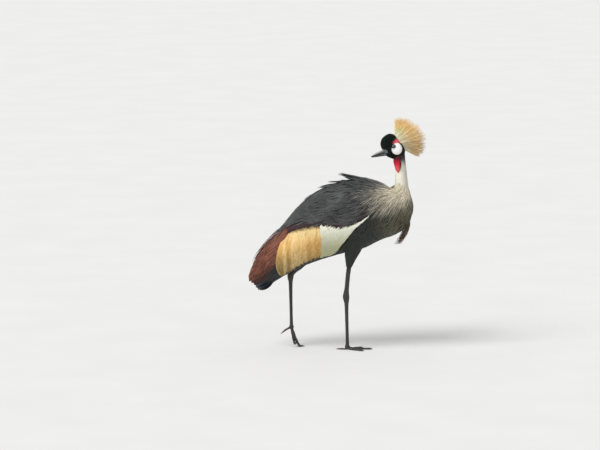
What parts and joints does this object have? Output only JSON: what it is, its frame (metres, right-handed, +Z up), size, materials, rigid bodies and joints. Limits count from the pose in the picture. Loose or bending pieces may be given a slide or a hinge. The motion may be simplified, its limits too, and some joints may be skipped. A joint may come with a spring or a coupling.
{
  "type": "grey crowned crane model",
  "caption": "Life-size still model of a grey crowned crane standing mid-stride, its head turned back over its shoulder, for display.",
  "frame": {"origin": "on the floor, under the centre of the bird's outer box", "axes": "+Z up; +X towards the breast, so the tail points to -X; +Y towards the bird's left side; the head looks back to -X"},
  "size_m": [0.7266, 0.2422, 0.9663],
  "materials": {
    "slate": "matt slate-grey feathers",
    "neck_grey": "soft pale grey feathers, lanceolate on the shoulders",
    "black_velvet": "black velvet feathers and bare white and red cheek skin",
    "bill_horn": "smooth slate-grey horn, half matt",
    "eye_blue": "wet polished eye, pale grey-blue",
    "crest_gold": "stiff straw-gold bristles",
    "wattle_red": "bare red skin",
    "wing_mix": "white coverts, straw-gold plumes, chestnut flight feathers, slate shoulder feathers",
    "tail_black": "blue-black feathers",
    "leg_dark": "dark scaled skin",
    "claw_horn": "dark horn"
  },
  "bodies": {
    "root": {"torso": "slate", "neck": "neck_grey", "head": "black_velvet", "eye_left": "eye_blue", "eye_right": "eye_blue", "bill_upper": "bill_horn", "bill_lower": "bill_horn", "crest": "crest_gold", "wattle": "wattle_red", "wing_right": "wing_mix", "wing_left": "wing_mix", "tail": "tail_black", "thigh_right": "slate", "thigh_left": "slate", "shank_right": "leg_dark", "shank_left": "leg_dark", "foot_right": "leg_dark", "foot_left": "leg_dark", "claw_right_inner": "claw_horn", "claw_right_middle": "claw_horn", "claw_right_outer": "claw_horn", "claw_right_hind": "claw_horn", "claw_left_inner": "claw_horn", "claw_left_middle": "claw_horn", "claw_left_outer": "claw_horn", "claw_left_hind": "claw_horn"}
  },
  "joints": []
}
